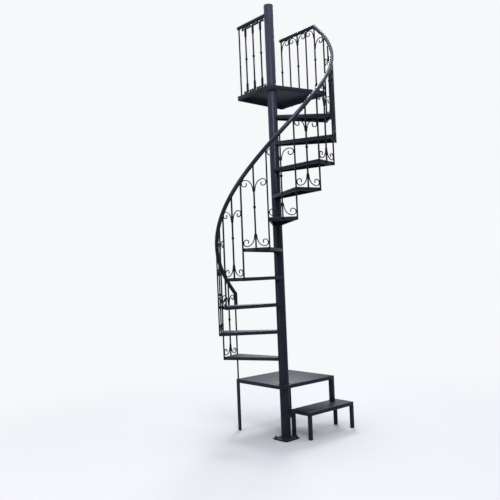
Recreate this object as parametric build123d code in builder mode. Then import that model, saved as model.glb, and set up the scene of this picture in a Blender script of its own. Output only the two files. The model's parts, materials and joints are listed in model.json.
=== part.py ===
from build123d import *
from math import cos, radians, sin, tan
import os

os.makedirs("parts", exist_ok=True)

# Spiral staircase. Millimetres, +Z up. The origin is on the post's axis at the floor.
# +X runs along the building's face and +Y points at the building. The flight climbs
# anticlockwise, from a floor platform round the front of the post to a roof landing.

# Flight
landing_height = 3280.0  # roof level
last_rise_extra = 30.0  # how much higher the rise on to the landing is than the others
platform_rise_count = 2  # rises from the floor to the platform
tread_count = 10
tread_angle = 24.4
first_edge_angle = 97.0
stair_radius = 572.0  # axis to a tread's outer corner

# Post
post_diameter = 88.9
post_wall = 4.0
post_over_rail = 90.0  # from the landing rails' centre up to the cap
cap_thickness = 6.0
cap_edge = 3.0
base_size = 180.0
base_corner = 10.0
base_thickness = 12.0
anchor_spacing = 136.0
anchor_hole_diameter = 14.0

# Folded tread pans
pan_depth = 30.0
pan_sheet = 3.0
pan_lip = 18.0  # width of the return lip under a pan
tread_cope = 12.0  # how far past the axis a tread's inner end starts

# Plates and their angle frames
plate_thickness = 4.0
frame_depth = 30.0
frame_leg = 30.0
frame_sheet = 3.0

# Floor platform and the step in front of it
platform_side_margin = 12.0  # platform left of the handrail's foot bar
platform_wall_margin = 16.0  # platform behind the handrail's foot bar
platform_right = 625.0
platform_front = 60.0
platform_leg = 40.0
angle_sheet = 4.0
step_left = 100.0
step_right = 715.0
step_front = 215.0
step_back = 25.0
step_leg = 30.0

# Landing
landing_margin = 15.0  # plate left beside the post
landing_back = 425.0
landing_frame_depth = 40.0
landing_frame_leg = 40.0
landing_anchor_spacing = 360.0
landing_anchor_count = 2

# Balusters
bar = 12.0
scroll_bar = 8.0
knob_diameter = 26.0
knob_height = 22.0
knob_taper = 20.0  # slope of a knob's sides, in degrees
knob_flats = 8
knob_level = 345.0  # above the tread or landing
scroll_root = 102.0  # where a lower scroll leaves its bar, or higher where it reaches far
scroll_least_lead = 2.0  # straight length before a scroll's first bend
scroll_foot_gap = 9.0  # from the tread up to a lower scroll's underside
scroll_clearance = 2.0  # between the scrolls of two neighbouring bars
flight_scroll_drop = 135.0  # rail centre down to the crown of a scroll under the slope
# A scroll's bends, from its lead to its curl: radius as a share of its reach, turn, chords
scroll_bends = [(1.17, 28.0, 1), (0.665, 62.0, 2), (0.274, 180.0, 5), (0.17, 120.0, 3)]

# Handrail
rail_diameter = 38.0
rail_flats = 12  # flats round a rail's outline
rail_height = 590.0  # rail centre above a tread's leading edge
return_length = 125.0  # the vertical end of the rail, from the mitre down
rail_overrun = 15.0  # rail past the last bar

# Landing railings
right_bar_count = 5
right_end_margin = 28.0  # from the last bar to the landing's back edge
left_rail_offset = 30.0  # from the axis to the left railing's plane
left_first_bar = 92.0
left_scroll_count = 3
left_end_gap = 94.0  # from the last scroll bar to the end bar
left_end_margin = 25.0  # from the end bar to the landing's back edge

# Worked out from the sizes above
riser = (landing_height - last_rise_extra) / (platform_rise_count + tread_count + 1)
post_radius = post_diameter / 2
rail_radius = rail_diameter / 2
half_angle = tread_angle / 2
tread_face = stair_radius * cos(radians(half_angle))  # axis to a tread's outer face
corner_bar_radius = stair_radius + bar / 2
bay_distance = tread_face + bar / 2
half_bay = corner_bar_radius * sin(radians(half_angle))
helix_radius = (corner_bar_radius + bay_distance) / 2
helix_pitch = riser * 360 / tread_angle
rail_slope = riser / (helix_radius * radians(tread_angle))
platform_height = platform_rise_count * riser
step_height = riser
first_share, first_turn, _ = scroll_bends[0]
crown_share = scroll_bends[1][0]
scroll_rise = (first_share - crown_share) * sin(radians(first_turn)) + crown_share
mitre_run = rail_radius / riser  # rises of spare helix for the foot's mitre to cut
platform_left = platform_side_margin - corner_bar_radius * cos(radians(first_edge_angle))
platform_back = platform_wall_margin + corner_bar_radius * sin(radians(first_edge_angle))
last_edge_angle = first_edge_angle + tread_count * tread_angle
landing_right = stair_radius * cos(radians(last_edge_angle))
landing_corner_y = stair_radius * sin(radians(last_edge_angle))
right_first_y = corner_bar_radius * sin(radians(last_edge_angle))
right_bar_spacing = (landing_back - right_end_margin - right_first_y) / right_bar_count
left_end_y = landing_back - left_end_margin
left_bar_spacing = (left_end_y - left_end_gap - left_first_bar) / (left_scroll_count - 1)
peak_level = landing_height - last_rise_extra + rail_height + rail_slope * right_bar_spacing
post_top = peak_level + post_over_rail


def edge_angle(number):
    return first_edge_angle + number * tread_angle


def tread_height(number):
    return platform_height + number * riser


def rail_level(number):
    return tread_height(number + 1) + rail_height


def radial_plane(angle, distance, height):
    # Faces outwards, with local X along the climb and local Y upwards.
    outwards = Vector(cos(radians(angle)), sin(radians(angle)), 0)
    along = Vector(-sin(radians(angle)), cos(radians(angle)), 0)
    return Plane(origin=outwards * distance + Vector(0, 0, height), x_dir=along, z_dir=outwards)


def section_plane(point, along):
    # Square to a rail's line, with local X pointing away from the post.
    return Plane(origin=point, x_dir=(point.X, point.Y, 0), z_dir=along)


def landing_plane(x, y):
    # Faces along +X, with local X along +Y and local Y upwards from the landing.
    return Plane(origin=(x, y, landing_height), x_dir=(0, 1, 0), z_dir=(1, 0, 0))


def finish(solid, name):
    solid.label = name
    export_step(solid, f"parts/{name}.step")


def draw_scrolls(side, reach, crown):
    # One at the bar's foot and one under the rail: a straight lead along the bar, then
    # bends that tighten into the curl.
    foot = scroll_foot_gap + scroll_bar / 2
    lead = max(scroll_root - foot - scroll_rise * reach, scroll_least_lead)
    height = lead + scroll_rise * reach
    for way, root in ((-1, foot + height), (1, crown - height)):
        heading = 90.0 * way
        with BuildLine() as scroll:
            run = PolarLine((side * scroll_stem, root), lead, heading)
            for share, turn, chords in scroll_bends:
                half_step = turn / chords / 2
                for _ in range(chords):
                    heading -= side * way * half_step
                    run = PolarLine(run @ 1, 2 * share * reach * sin(radians(half_step)), heading)
                    heading -= side * way * half_step
        trace(scroll.line, line_width=scroll_bar)


# Post, its foot and its cap
with BuildPart() as base_plate:
    with BuildSketch() as foot_outline:
        Rectangle(base_size, base_size)
        chamfer(foot_outline.vertices(), base_corner)
        with GridLocations(anchor_spacing, anchor_spacing, 2, 2):
            Circle(anchor_hole_diameter / 2, mode=Mode.SUBTRACT)
    extrude(amount=base_thickness)
finish(base_plate.part, "base_plate")

with BuildPart() as centre_post:
    with BuildSketch(Plane.XY.offset(base_thickness)) as post_section:
        Circle(post_radius)
        Circle(post_radius - post_wall, mode=Mode.SUBTRACT)
    extrude(amount=post_top - base_thickness)
    with BuildSketch(Plane.XY.offset(post_top)) as cap_outline:
        Circle(post_radius)
    extrude(amount=cap_thickness)
    chamfer(centre_post.edges().sort_by(Axis.Z)[-1], cap_edge)
finish(centre_post.part, "centre_post")

# Wedge treads: a sheet with its sides folded down and lipped, coped round the post
inner_end = tread_cope
side_slope = (tread_face * tan(radians(half_angle)) - post_radius) / tread_face
inner_half = post_radius + side_slope * inner_end
outer_half = tread_face * tan(radians(half_angle))
for number in range(tread_count):
    middle = edge_angle(number) + half_angle
    level = tread_height(number + 1)
    top_plane = Plane(origin=(0, 0, level)).rotated((0, 0, middle))
    with BuildPart() as tread:
        with BuildSketch(top_plane) as outline:
            Polygon(
                (inner_end, -inner_half),
                (tread_face, -outer_half),
                (tread_face, outer_half),
                (inner_end, inner_half),
                align=None,
            )
        extrude(amount=-pan_depth)
        with BuildSketch(top_plane.offset(-pan_sheet)) as pocket:
            Polygon(
                (0, -post_radius),
                (tread_face, -outer_half),
                (tread_face, outer_half),
                (0, post_radius),
                align=None,
            )
            offset(amount=-pan_sheet)
        extrude(amount=-(pan_depth - 2 * pan_sheet), mode=Mode.SUBTRACT)
        with BuildSketch(top_plane.offset(-pan_depth)) as mouth:
            Polygon(
                (0, -post_radius),
                (tread_face, -outer_half),
                (tread_face, outer_half),
                (0, post_radius),
                align=None,
            )
            offset(amount=-pan_lip)
        extrude(amount=2 * pan_sheet, mode=Mode.SUBTRACT)
        with BuildSketch(top_plane) as post_cope:
            Circle(post_radius)
        extrude(amount=-pan_depth, mode=Mode.SUBTRACT)
    finish(tread.part, f"tread_{number + 1:02d}")

# Floor platform
platform_width = platform_left + platform_right
platform_depth = platform_front + platform_back
platform_centre = ((platform_right - platform_left) / 2, (platform_back - platform_front) / 2)
with BuildPart() as platform_plate:
    with BuildSketch(Plane.XY.offset(platform_height)) as platform_outline:
        with Locations(platform_centre):
            Rectangle(platform_width, platform_depth)
        Circle(post_radius, mode=Mode.SUBTRACT)
    extrude(amount=-plate_thickness)
finish(platform_plate.part, "platform_plate")

with BuildPart() as platform_frame:
    with BuildSketch(Plane.XY.offset(platform_height - plate_thickness)) as platform_rim:
        with Locations(platform_centre):
            Rectangle(platform_width, platform_depth)
            Rectangle(
                platform_width - 2 * frame_sheet, platform_depth - 2 * frame_sheet, mode=Mode.SUBTRACT
            )
    extrude(amount=-frame_depth)
    with BuildSketch(Plane.XY.offset(platform_height - plate_thickness)) as platform_flange:
        with Locations(platform_centre):
            Rectangle(platform_width, platform_depth)
            Rectangle(platform_width - 2 * frame_leg, platform_depth - 2 * frame_leg, mode=Mode.SUBTRACT)
            Rectangle(frame_leg, platform_depth)
        Circle(post_radius, mode=Mode.SUBTRACT)
    extrude(amount=-frame_sheet)
    with BuildSketch(Plane.XY.offset(platform_height - plate_thickness)) as platform_bearer:
        with Locations(platform_centre):
            Rectangle(frame_sheet, platform_depth)
    extrude(amount=-frame_depth)
finish(platform_frame.part, "platform_frame")

platform_frame_bottom = platform_height - plate_thickness - frame_depth
leg_half = platform_leg / 2
with BuildPart() as platform_wall_legs:
    with BuildSketch() as angle_sections:
        for side in (-1, 1):
            corner_x = -platform_left if side < 0 else platform_right
            Polygon(
                (corner_x, platform_back),
                (corner_x - side * platform_leg, platform_back),
                (corner_x - side * platform_leg, platform_back - angle_sheet),
                (corner_x - side * angle_sheet, platform_back - angle_sheet),
                (corner_x - side * angle_sheet, platform_back - platform_leg),
                (corner_x, platform_back - platform_leg),
                align=None,
            )
    extrude(amount=platform_frame_bottom)
finish(platform_wall_legs.part, "platform_wall_legs")

with BuildPart() as platform_front_leg:
    with BuildSketch(Plane.XY.offset(step_height)) as box_section:
        with Locations((platform_right - leg_half, -platform_front + leg_half)):
            Rectangle(platform_leg, platform_leg)
            Rectangle(platform_leg - 2 * frame_sheet, platform_leg - 2 * frame_sheet, mode=Mode.SUBTRACT)
    extrude(amount=platform_frame_bottom - step_height)
finish(platform_front_leg.part, "platform_front_leg")

# Step in front of the platform
step_width = step_right - step_left
step_depth = step_front + step_back
step_centre = ((step_right + step_left) / 2, (step_back - step_front) / 2)
with BuildPart() as step_plate:
    with BuildSketch(Plane.XY.offset(step_height)) as step_outline:
        with Locations(step_centre):
            Rectangle(step_width, step_depth)
    extrude(amount=-plate_thickness)
finish(step_plate.part, "step_plate")

with BuildPart() as step_frame:
    with BuildSketch(Plane.XY.offset(step_height - plate_thickness)) as step_rim:
        with Locations(step_centre):
            Rectangle(step_width, step_depth)
            Rectangle(step_width - 2 * frame_sheet, step_depth - 2 * frame_sheet, mode=Mode.SUBTRACT)
    extrude(amount=-frame_depth)
    with BuildSketch(Plane.XY.offset(step_height - plate_thickness)) as step_flange:
        with Locations(step_centre):
            Rectangle(step_width, step_depth)
            Rectangle(step_width - 2 * frame_leg, step_depth - 2 * frame_leg, mode=Mode.SUBTRACT)
    extrude(amount=-frame_sheet)
finish(step_frame.part, "step_frame")

with BuildPart() as step_legs:
    with BuildSketch() as step_leg_sections:
        with Locations(step_centre):
            with GridLocations(step_width - step_leg, step_depth - step_leg, 2, 2):
                Rectangle(step_leg, step_leg)
                Rectangle(step_leg - 2 * frame_sheet, step_leg - 2 * frame_sheet, mode=Mode.SUBTRACT)
    extrude(amount=step_height - plate_thickness - frame_depth)
finish(step_legs.part, "step_legs")

# Landing
landing_left = post_radius + landing_margin
landing_points = [
    (-landing_left, -post_radius),
    (landing_right, landing_corner_y),
    (landing_right, landing_back),
    (-landing_left, landing_back),
]
anchor_line = ((landing_right - landing_left) / 2, landing_back - landing_frame_leg / 2)
with BuildPart() as landing_plate:
    with BuildSketch(Plane.XY.offset(landing_height)) as landing_outline:
        Polygon(*landing_points, align=None)
        Circle(post_radius, mode=Mode.SUBTRACT)
        with Locations(anchor_line):
            with GridLocations(landing_anchor_spacing, 0, landing_anchor_count, 1):
                Circle(anchor_hole_diameter / 2, mode=Mode.SUBTRACT)
    extrude(amount=-plate_thickness)
finish(landing_plate.part, "landing_plate")

frame_top = Plane.XY.offset(landing_height - plate_thickness)
with BuildPart() as landing_frame:
    with BuildSketch(frame_top) as landing_rim:
        Polygon(*landing_points, align=None)
        offset(amount=-frame_sheet, mode=Mode.SUBTRACT)
    extrude(amount=-landing_frame_depth)
    with BuildSketch(frame_top) as landing_flange:
        Polygon(*landing_points, align=None)
        offset(amount=-landing_frame_leg, mode=Mode.SUBTRACT)
        Circle(post_radius, mode=Mode.SUBTRACT)
        with Locations(anchor_line):
            with GridLocations(landing_anchor_spacing, 0, landing_anchor_count, 1):
                Circle(anchor_hole_diameter / 2, mode=Mode.SUBTRACT)
    extrude(amount=-frame_sheet)
finish(landing_frame.part, "landing_frame")

# Handrail: a helix, mitred at its foot to a vertical end
helix = Helix(helix_pitch, (tread_count + mitre_run) * riser, helix_radius)
rail_curve = Pos(0, 0, rail_level(-mitre_run)) * Rot(0, 0, edge_angle(-mitre_run)) * helix
foot_share = mitre_run / (tread_count + mitre_run)
rail_foot = rail_curve @ foot_share
rail_head = rail_curve @ 1
foot_mitre = Plane(origin=rail_foot, z_dir=(rail_curve % foot_share) + Vector(0, 0, 1))
flat_turn = 180 / rail_flats
with BuildPart() as handrail:
    with BuildLine():
        add(rail_curve)
    with BuildSketch(section_plane(rail_curve @ 0, rail_curve % 0)):
        RegularPolygon(rail_radius, rail_flats, rotation=flat_turn)
    sweep(is_frenet=True)
    split(bisect_by=foot_mitre, keep=Keep.TOP)
finish(handrail.part, "handrail")

return_top = rail_foot + Vector(0, 0, rail_diameter)
with BuildPart() as handrail_return:
    with BuildSketch(section_plane(return_top, (0, 0, 1))):
        RegularPolygon(rail_radius, rail_flats, rotation=flat_turn)
    extrude(amount=-(return_length + rail_diameter))
    split(bisect_by=foot_mitre, keep=Keep.BOTTOM)
finish(handrail_return.part, "handrail_return")

# Landing rails: the right one climbs from the helix to its peak and runs level from there
right_rail_x = landing_right + bar / 2
peak_y = right_first_y + right_bar_spacing
right_end_y = landing_back - right_end_margin + rail_overrun
with BuildPart() as landing_rail_right:
    with BuildLine() as right_rail_line:
        Polyline(rail_head, (right_rail_x, peak_y, peak_level), (right_rail_x, right_end_y, peak_level))
    with BuildSketch(section_plane(rail_head, rail_curve % 1)):
        RegularPolygon(rail_radius, rail_flats, rotation=flat_turn)
    sweep(transition=Transition.RIGHT)
finish(landing_rail_right.part, "landing_rail_right")

with BuildPart() as landing_rail_left:
    with BuildSketch(Plane(origin=(-left_rail_offset, 0, peak_level), x_dir=(1, 0, 0), z_dir=(0, 1, 0))):
        RegularPolygon(rail_radius, rail_flats, rotation=flat_turn)
    extrude(amount=left_end_y + rail_overrun)
    with BuildSketch(Plane.XY.offset(peak_level - rail_diameter)):
        Circle(post_radius)
    extrude(amount=2 * rail_diameter, mode=Mode.SUBTRACT)
finish(landing_rail_left.part, "landing_rail_left")
rails = (handrail.part, handrail_return.part, landing_rail_right.part, landing_rail_left.part)

# Plain balusters, one at each joint between two treads and between scrolls on the landing
right_foot = -(plate_thickness + landing_frame_depth)
with BuildPart() as plain_balusters:
    with BuildSketch(radial_plane(edge_angle(0), corner_bar_radius, platform_height)):
        Rectangle(bar, rail_level(0) - return_length - platform_height, align=(Align.CENTER, Align.MIN))
    for number in range(1, tread_count + 1):
        foot = tread_height(number) - pan_depth
        with BuildSketch(radial_plane(edge_angle(number), corner_bar_radius, foot)):
            Rectangle(bar, rail_level(number) - foot, align=(Align.CENTER, Align.MIN))
    for number in range(2, right_bar_count, 2):
        with BuildSketch(landing_plane(right_rail_x, right_first_y + number * right_bar_spacing)):
            with Locations((0, right_foot)):
                Rectangle(bar, peak_level - landing_height - right_foot, align=(Align.CENTER, Align.MIN))
    with BuildSketch(landing_plane(-left_rail_offset, left_end_y)):
        Rectangle(bar, peak_level - landing_height, align=(Align.CENTER, Align.MIN))
    extrude(amount=bar / 2, both=True)
    for rail in rails:
        add(rail, mode=Mode.SUBTRACT)
finish(plain_balusters.part, "plain_balusters")

# Scroll balusters: a square bar with a knob, and scrolls at its foot and under the rail.
# Each row is the bar's plane, its foot, the rail's centre, and its scrolls: the side they
# are on, how far they reach and how high their crowns stand.
scroll_stem = bar / 2 + scroll_bar / 2
bay_reach = half_bay - bar / 2 - scroll_bar / 2 - scroll_stem
right_reach = right_bar_spacing - bar / 2 - scroll_bar / 2 - scroll_stem
left_reach = (left_bar_spacing - scroll_clearance - scroll_bar) / 2 - scroll_stem
bay_rail = rail_height + riser / 2
level_rail = peak_level - landing_height
level_crown = level_rail - rail_radius - scroll_bar / 2
scroll_bays = []
for number in range(tread_count):
    bay_plane = radial_plane(edge_angle(number) + half_angle, bay_distance, tread_height(number + 1))
    bay_crown = bay_rail - flight_scroll_drop
    bay_scrolls = [(-1, bay_reach, bay_crown), (1, bay_reach, bay_crown)]
    if number == 0:
        bay_scrolls[0] = (-1, bay_reach - (rail_radius - bar / 2) - scroll_clearance, bay_crown)
    scroll_bays.append((bay_plane, -pan_depth, bay_rail, bay_scrolls))
for number in range(1, right_bar_count + 1, 2):
    bay_plane = landing_plane(right_rail_x, right_first_y + number * right_bar_spacing)
    bay_scrolls = [(-1, right_reach, level_crown), (1, right_reach, level_crown)]
    if number == 1:
        bay_scrolls[0] = (-1, right_reach - scroll_clearance, level_rail - flight_scroll_drop)
    if number == right_bar_count:
        bay_scrolls.pop()
    scroll_bays.append((bay_plane, right_foot, level_rail, bay_scrolls))
for number in range(left_scroll_count):
    bay_plane = landing_plane(-left_rail_offset, left_first_bar + number * left_bar_spacing)
    bay_scrolls = [(-1, left_reach, level_crown), (1, left_reach, level_crown)]
    scroll_bays.append((bay_plane, 0, level_rail, bay_scrolls))

scroll_balusters = []
for bay_plane, foot, rail_centre, bay_scrolls in scroll_bays:
    with BuildPart() as scroll_baluster:
        with BuildSketch(bay_plane):
            with Locations((0, foot)):
                Rectangle(bar, rail_centre - foot, align=(Align.CENTER, Align.MIN))
        extrude(amount=bar / 2, both=True)
        for rail in rails:
            add(rail, mode=Mode.SUBTRACT)
        with BuildSketch(bay_plane.offset(-scroll_bar / 2)):
            for side, reach, crown in bay_scrolls:
                draw_scrolls(side, reach, crown)
        extrude(amount=scroll_bar)
        knob_centre = bay_plane.origin + Vector(0, 0, knob_level)
        with BuildSketch(Plane(origin=knob_centre, x_dir=bay_plane.x_dir)):
            RegularPolygon(knob_diameter / 2, knob_flats)
        extrude(amount=knob_height / 2, both=True, taper=knob_taper)
    scroll_balusters.append(scroll_baluster.part)
finish(Compound(scroll_balusters), "scroll_balusters")
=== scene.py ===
import bpy, bmesh, json
from math import sin, cos, radians, degrees, pi, sqrt, ceil
from mathutils import Vector, Matrix

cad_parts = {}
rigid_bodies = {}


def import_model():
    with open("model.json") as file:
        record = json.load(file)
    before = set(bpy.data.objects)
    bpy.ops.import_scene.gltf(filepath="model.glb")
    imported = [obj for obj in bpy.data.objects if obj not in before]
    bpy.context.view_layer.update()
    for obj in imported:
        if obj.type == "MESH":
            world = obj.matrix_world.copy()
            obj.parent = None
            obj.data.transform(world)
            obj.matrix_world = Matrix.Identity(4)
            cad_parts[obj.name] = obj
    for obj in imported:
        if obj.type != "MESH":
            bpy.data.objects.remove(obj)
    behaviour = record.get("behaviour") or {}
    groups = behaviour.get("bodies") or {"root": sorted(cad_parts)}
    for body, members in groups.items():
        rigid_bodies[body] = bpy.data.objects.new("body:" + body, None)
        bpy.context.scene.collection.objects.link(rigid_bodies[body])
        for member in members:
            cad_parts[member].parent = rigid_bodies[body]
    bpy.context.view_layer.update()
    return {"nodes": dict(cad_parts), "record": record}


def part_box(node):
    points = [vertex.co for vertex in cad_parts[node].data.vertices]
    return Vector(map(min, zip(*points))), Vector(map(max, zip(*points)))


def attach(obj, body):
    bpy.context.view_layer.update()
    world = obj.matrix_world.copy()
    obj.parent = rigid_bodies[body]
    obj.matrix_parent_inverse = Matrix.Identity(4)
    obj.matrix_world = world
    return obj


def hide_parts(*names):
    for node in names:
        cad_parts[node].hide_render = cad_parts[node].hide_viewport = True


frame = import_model()
print("frame loaded:", len(frame["nodes"]), "nodes")

# The stair's own sizes in metres and degrees, the same as the solids have
stair = {
    "riser": 0.25, "treads": 10, "treadAngle": 24.4, "firstEdge": 97.0, "radius": 0.572,
    "platformTop": 0.5, "landingTop": 3.28, "panDepth": 0.03, "postRadius": 0.04445,
    "baseTop": 0.012, "bar": 0.012, "railHeight": 0.59, "landingBack": 0.425,
    "solidRail": 0.019,      # radius to the corners of the solids' twelve-sided rail
    "railRadius": 0.0183,    # a round tube that stays inside its flats
}
treadStep = radians(stair["treadAngle"])
halfAngle = radians(stair["treadAngle"] / 2)
barRadius = stair["radius"] + stair["bar"] / 2                       # axis to a plain bar
bayDistance = stair["radius"] * cos(halfAngle) + stair["bar"] / 2    # axis to a scroll bar
helixRadius = (barRadius + bayDistance) / 2                          # axis to the handrail's middle
railSlope = stair["riser"] / (helixRadius * treadStep)


def edgeAngle(n):
    # The edge that tread n starts at, counted from 0; halves are the treads' middles
    return radians(stair["firstEdge"] + n * stair["treadAngle"])


def treadTop(n):
    return stair["platformTop"] + (n + 1) * stair["riser"]


def railLevel(n):
    # The handrail's middle over edge n
    return treadTop(n) + stair["railHeight"]


def polar(angle, distance, height):
    return Vector((cos(angle) * distance, sin(angle) * distance, height))


def circle(sides):
    return [(cos(2 * pi * i / sides), sin(2 * pi * i / sides)) for i in range(sides)]


# Objects and meshes

def newObject(name, mesh):
    thing = bpy.data.objects.new(name, mesh)
    bpy.context.scene.collection.objects.link(thing)
    return thing


def discard(*things):
    # Takes away what only helped to make a piece
    for thing in things:
        bpy.data.objects.remove(thing)


def plainMesh(name, bm):
    mesh = bpy.data.meshes.new(name)
    bm.to_mesh(mesh)
    bm.free()
    return mesh


def smoothed(mesh, sharpAngle):
    # Smooth shading that breaks where two faces meet at more than the angle
    mesh.shade_smooth()
    mesh.set_sharp_from_angle(angle=radians(sharpAngle))
    return mesh


def meshFromBm(name, bm, sharpAngle=35):
    bmesh.ops.recalc_face_normals(bm, faces=bm.faces)
    return smoothed(plainMesh(name, bm), sharpAngle)


def settle(thing):
    # Keeps what the modifiers make as a plain mesh, and takes them away
    bpy.context.view_layer.update()
    shaped = thing.evaluated_get(bpy.context.evaluated_depsgraph_get())
    mesh = bpy.data.meshes.new_from_object(shaped)
    thing.modifiers.clear()
    thing.data = mesh
    return thing


def joined(name, pieces, slot, sharpAngle):
    bm = bmesh.new()
    for piece in pieces:
        bm.from_mesh(piece.data)
    discard(*pieces)
    mesh = smoothed(plainMesh(name, bm), sharpAngle)
    mesh.materials.append(paints[slot])
    return newObject(name, mesh)


def addSkin(bm, rings):
    # Walls from ring to ring of points, and a face over each end
    verts = [[bm.verts.new(p) for p in ring] for ring in rings]
    sides = len(rings[0])
    for a, b in zip(verts, verts[1:]):
        for i in range(sides):
            j = (i + 1) % sides
            bm.faces.new((a[i], a[j], b[j], b[i]))
    bm.faces.new(verts[0][::-1])
    bm.faces.new(verts[-1])


def addTube(bm, path, radius, sides, chamfer=0.0015):
    # Rings stand in the plane that halves each corner, so corners come out mitred
    path = [Vector(p) for p in path]
    first = (path[1] - path[0]).normalized()
    across = first.cross(Vector((0, 0, 1)))
    if across.length < 1e-6:
        across = Vector((1, 0, 0))
    across.normalize()
    other = first.cross(across).normalized()
    narrow = 1 - chamfer / radius
    ring = [path[0] + (across * x + other * y) * radius for x, y in circle(sides)]
    rings = [[path[0] + (p - path[0]) * narrow for p in ring], [p + first * chamfer for p in ring]]
    for i in range(1, len(path)):
        along = (path[i] - path[i - 1]).normalized()
        last = i == len(path) - 1
        normal = along if last else (along + (path[i + 1] - path[i]).normalized()).normalized()
        spot = path[i] - along * chamfer if last else path[i]
        rings.append([p + along * ((spot - p).dot(normal) / along.dot(normal)) for p in rings[-1]])
    rings.append([path[-1] + (p + along * chamfer - path[-1]) * narrow for p in rings[-1]])
    addSkin(bm, rings)


def addLathe(bm, profile, sides, spot=Vector()):
    # profile: (radius, height) from the bottom up
    addSkin(bm, [[spot + Vector((r * x, r * y, z)) for x, y in circle(sides)] for r, z in profile])


def addBar(bm, low, high, size, edge=0.0012):
    # A square bar standing on Z between two heights, its long edges taken off
    half = size / 2
    flat = half - edge
    outline = [(flat, -half), (half, -flat), (half, flat), (flat, half),
               (-flat, half), (-half, flat), (-half, -flat), (-flat, -half)]
    addSkin(bm, [[(x, y, z) for x, y in outline] for z in (low, high)])


def addLump(bm, centre, size, seed=0, sides=8, rows=5, uneven=0.12):
    # A weld lump or a forged eye: a ball pulled a little out of round, each seed in its own way
    rings = []
    for j in range(1, rows):
        lean = pi * j / rows
        ring = []
        for i, (x, y) in enumerate(circle(sides)):
            swell = 1 + uneven * sin(seed * 2.3 + i * 1.7 + j * 2.9)
            spot = Vector((size[0] * sin(lean) * x, size[1] * sin(lean) * y, size[2] * cos(lean)))
            ring.append(bm.verts.new(centre + spot * swell))
        rings.append(ring)
    top = bm.verts.new(centre + Vector((0, 0, size[2])))
    bottom = bm.verts.new(centre - Vector((0, 0, size[2])))
    for a, b in zip(rings, rings[1:]):
        for i in range(sides):
            bm.faces.new((a[i], b[i], b[(i + 1) % sides], a[(i + 1) % sides]))
    for i in range(sides):
        bm.faces.new((top, rings[0][i], rings[0][(i + 1) % sides]))
        bm.faces.new((bottom, rings[-1][(i + 1) % sides], rings[-1][i]))


def cutAt(bm, point, normal):
    # Takes away what lies behind the plane, against its normal, and closes the cut
    everything = bm.verts[:] + bm.edges[:] + bm.faces[:]
    cut = bmesh.ops.bisect_plane(bm, geom=everything, plane_co=point, plane_no=normal, clear_inner=True)
    bmesh.ops.holes_fill(bm, edges=[e for e in cut["geom_cut"] if isinstance(e, bmesh.types.BMEdge)], sides=0)


def drawing(name, lines):
    # Loose edges for a tree to follow; each line is a list of points
    bm = bmesh.new()
    for points in lines:
        verts = [bm.verts.new(p) for p in points]
        for a, b in zip(verts, verts[1:]):
            bm.edges.new((a, b))
    return newObject(name, plainMesh(name, bm))


softening = {"mergeWithin": 1e-5, "flatWithin": 1, "roundAbove": 30, "sharpAbove": 40, "segments": 2}


def softEdged(name, node, width, shift=Matrix()):
    # A copy of a solid with its sheet edges rounded
    bm = bmesh.new()
    bm.from_mesh(frame["nodes"][node].data)
    bm.transform(shift)
    bmesh.ops.remove_doubles(bm, verts=bm.verts, dist=softening["mergeWithin"])
    bmesh.ops.dissolve_limit(bm, angle_limit=radians(softening["flatWithin"]), verts=bm.verts, edges=bm.edges)
    piece = newObject(name, plainMesh(name, bm))
    bevel = piece.modifiers.new("edges", "BEVEL")
    bevel.width = width
    bevel.segments = softening["segments"]
    bevel.limit_method = "ANGLE"
    bevel.angle_limit = radians(softening["roundAbove"])
    settle(piece)
    smoothed(piece.data, softening["sharpAbove"])
    return piece


# Node trees

class Nodes:
    # Short ways to add and link nodes. A link's key is a socket's name, or "at" and its number
    def __init__(self, tree):
        self.tree = tree

    def add(self, kind, settings=None, **links):
        node = self.tree.nodes.new(kind)
        for key, value in (settings or {}).items():
            setattr(node, key, value)
        for key, value in links.items():
            socket = node.inputs[int(key[2:])] if key.startswith("at") else node.inputs[key.replace("_", " ")]
            if isinstance(value, bpy.types.NodeSocket):
                self.link(value, socket)
            else:
                socket.default_value = value
        return node

    def link(self, output, target):
        self.tree.links.new(output, target)

    def maths(self, operation, a, b=0.0, clamp=False):
        settings = {"operation": operation, "use_clamp": clamp}
        return self.add("ShaderNodeMath", settings, at0=a, at1=b).outputs[0]

    def product(self, first, *others):
        for factor in others:
            first = self.maths("MULTIPLY", first, factor)
        return first


class Tree(Nodes):
    # A Geometry Nodes tree with named inputs; ids holds the identifier that sets each one
    def __init__(self, name, inputs):
        super().__init__(bpy.data.node_groups.new(name, "GeometryNodeTree"))
        self.ids = {}
        for label, kind in inputs:
            socket = self.tree.interface.new_socket(label, in_out="INPUT", socket_type="NodeSocket" + kind)
            self.ids[label] = socket.identifier
        self.tree.interface.new_socket("Geometry", in_out="OUTPUT", socket_type="NodeSocketGeometry")
        self.inputs = self.tree.nodes.new("NodeGroupInput").outputs
        self.end = self.tree.nodes.new("NodeGroupOutput")

    def index(self):
        return self.add("GeometryNodeInputIndex").outputs[0]

    def shapeOf(self, thing):
        return self.add("GeometryNodeObjectInfo", Object=thing).outputs["Geometry"]

    def aroundPost(self, count, angle, distance, height):
        # A row of points, each moved to its angle round the post and its height, so their spacing is lost
        x = self.product(self.maths("COSINE", angle), distance)
        y = self.product(self.maths("SINE", angle), distance)
        spot = self.add("ShaderNodeCombineXYZ", X=x, Y=y, Z=height)
        line = self.add("GeometryNodeMeshLine", Count=count, Offset=(0, 0, 0.1))
        moved = self.add("GeometryNodeSetPosition", Geometry=line.outputs[0], Position=spot.outputs[0])
        return moved.outputs[0]

    def copies(self, points, piece, **turns):
        shape = self.shapeOf(piece)
        return self.add("GeometryNodeInstanceOnPoints", Points=points, Instance=shape, **turns).outputs[0]

    def finish(self, geometry, material):
        real = self.add("GeometryNodeRealizeInstances", Geometry=geometry)
        paint = self.add("GeometryNodeSetMaterial", Geometry=real.outputs[0], Material=material)
        self.link(paint.outputs[0], self.end.inputs[0])
        return self


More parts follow.
